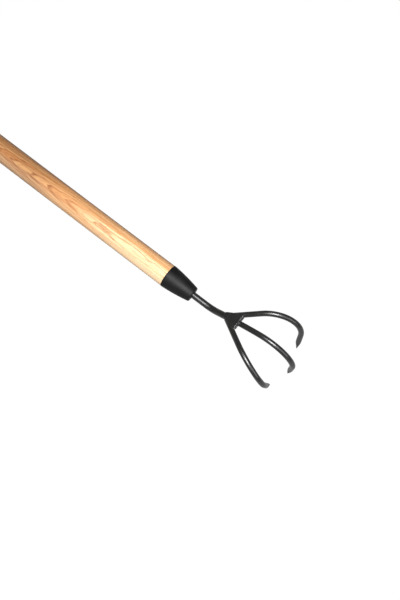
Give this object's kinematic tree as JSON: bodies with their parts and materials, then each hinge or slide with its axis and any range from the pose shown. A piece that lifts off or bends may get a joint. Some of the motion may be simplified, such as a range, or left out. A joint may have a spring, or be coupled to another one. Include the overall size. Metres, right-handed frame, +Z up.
{
  "type": "hand cultivator",
  "caption": "Hand cultivator with splayed round-rod tines, a forked shank with a welded gusset plate, a tapered black ferrule and a straight ash handle.",
  "frame": {"origin": "on the floor, under the middle of the tool's length, in its plane of symmetry", "axes": "+X along the handle towards the tines, +Z up from the floor that the ferrule and the tine points lie on, +Y towards the left tine"},
  "size_m": [0.6292, 0.0814, 0.0602],
  "materials": {
    "ash_wood": "clear gloss lacquer over open ash grain",
    "black_plastic": "satin black moulding",
    "dark_steel": "semi-gloss dark lacquer on forged rod",
    "weld_steel": "semi-gloss dark lacquer over weld ripples"
  },
  "bodies": {
    "root": {"wooden_handle": "ash_wood", "ferrule": "black_plastic", "shank": "dark_steel", "centre_tine": "dark_steel", "left_tine": "dark_steel", "right_tine": "dark_steel", "gusset_plate": "dark_steel", "weld_beads": "weld_steel"}
  },
  "joints": []
}
